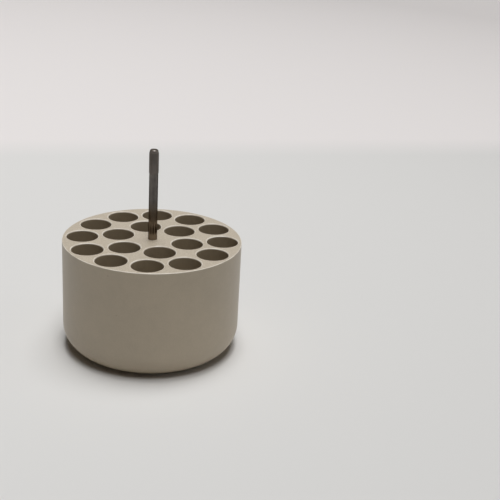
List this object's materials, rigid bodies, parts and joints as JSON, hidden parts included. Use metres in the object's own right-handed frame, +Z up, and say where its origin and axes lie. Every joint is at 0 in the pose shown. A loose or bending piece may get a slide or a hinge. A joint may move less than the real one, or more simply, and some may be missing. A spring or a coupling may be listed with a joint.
{
  "type": "centrifuge tube adapter",
  "caption": "Round plastic block with rings of round-bottomed tube sockets and a knurled steel lifting rod in its centre, made to drop into a swing-out centrifuge bucket.",
  "frame": {"origin": "centre of the flat base the adapter stands on", "axes": "+Z up along the body's axis and the rod; +X through the centre of one outer socket; +Y completes the right-handed frame"},
  "size_m": [0.096, 0.096, 0.1113],
  "materials": {
    "body_plastic": "satin taupe-grey plastic, finely mottled, with bright broken edges at the socket mouths",
    "rod_steel": "dull turned steel with fine lengthwise streaks and a diamond knurl at its top end"
  },
  "bodies": {
    "root": {"adapter_body": "body_plastic", "lifting_rod": "rod_steel"}
  },
  "joints": []
}
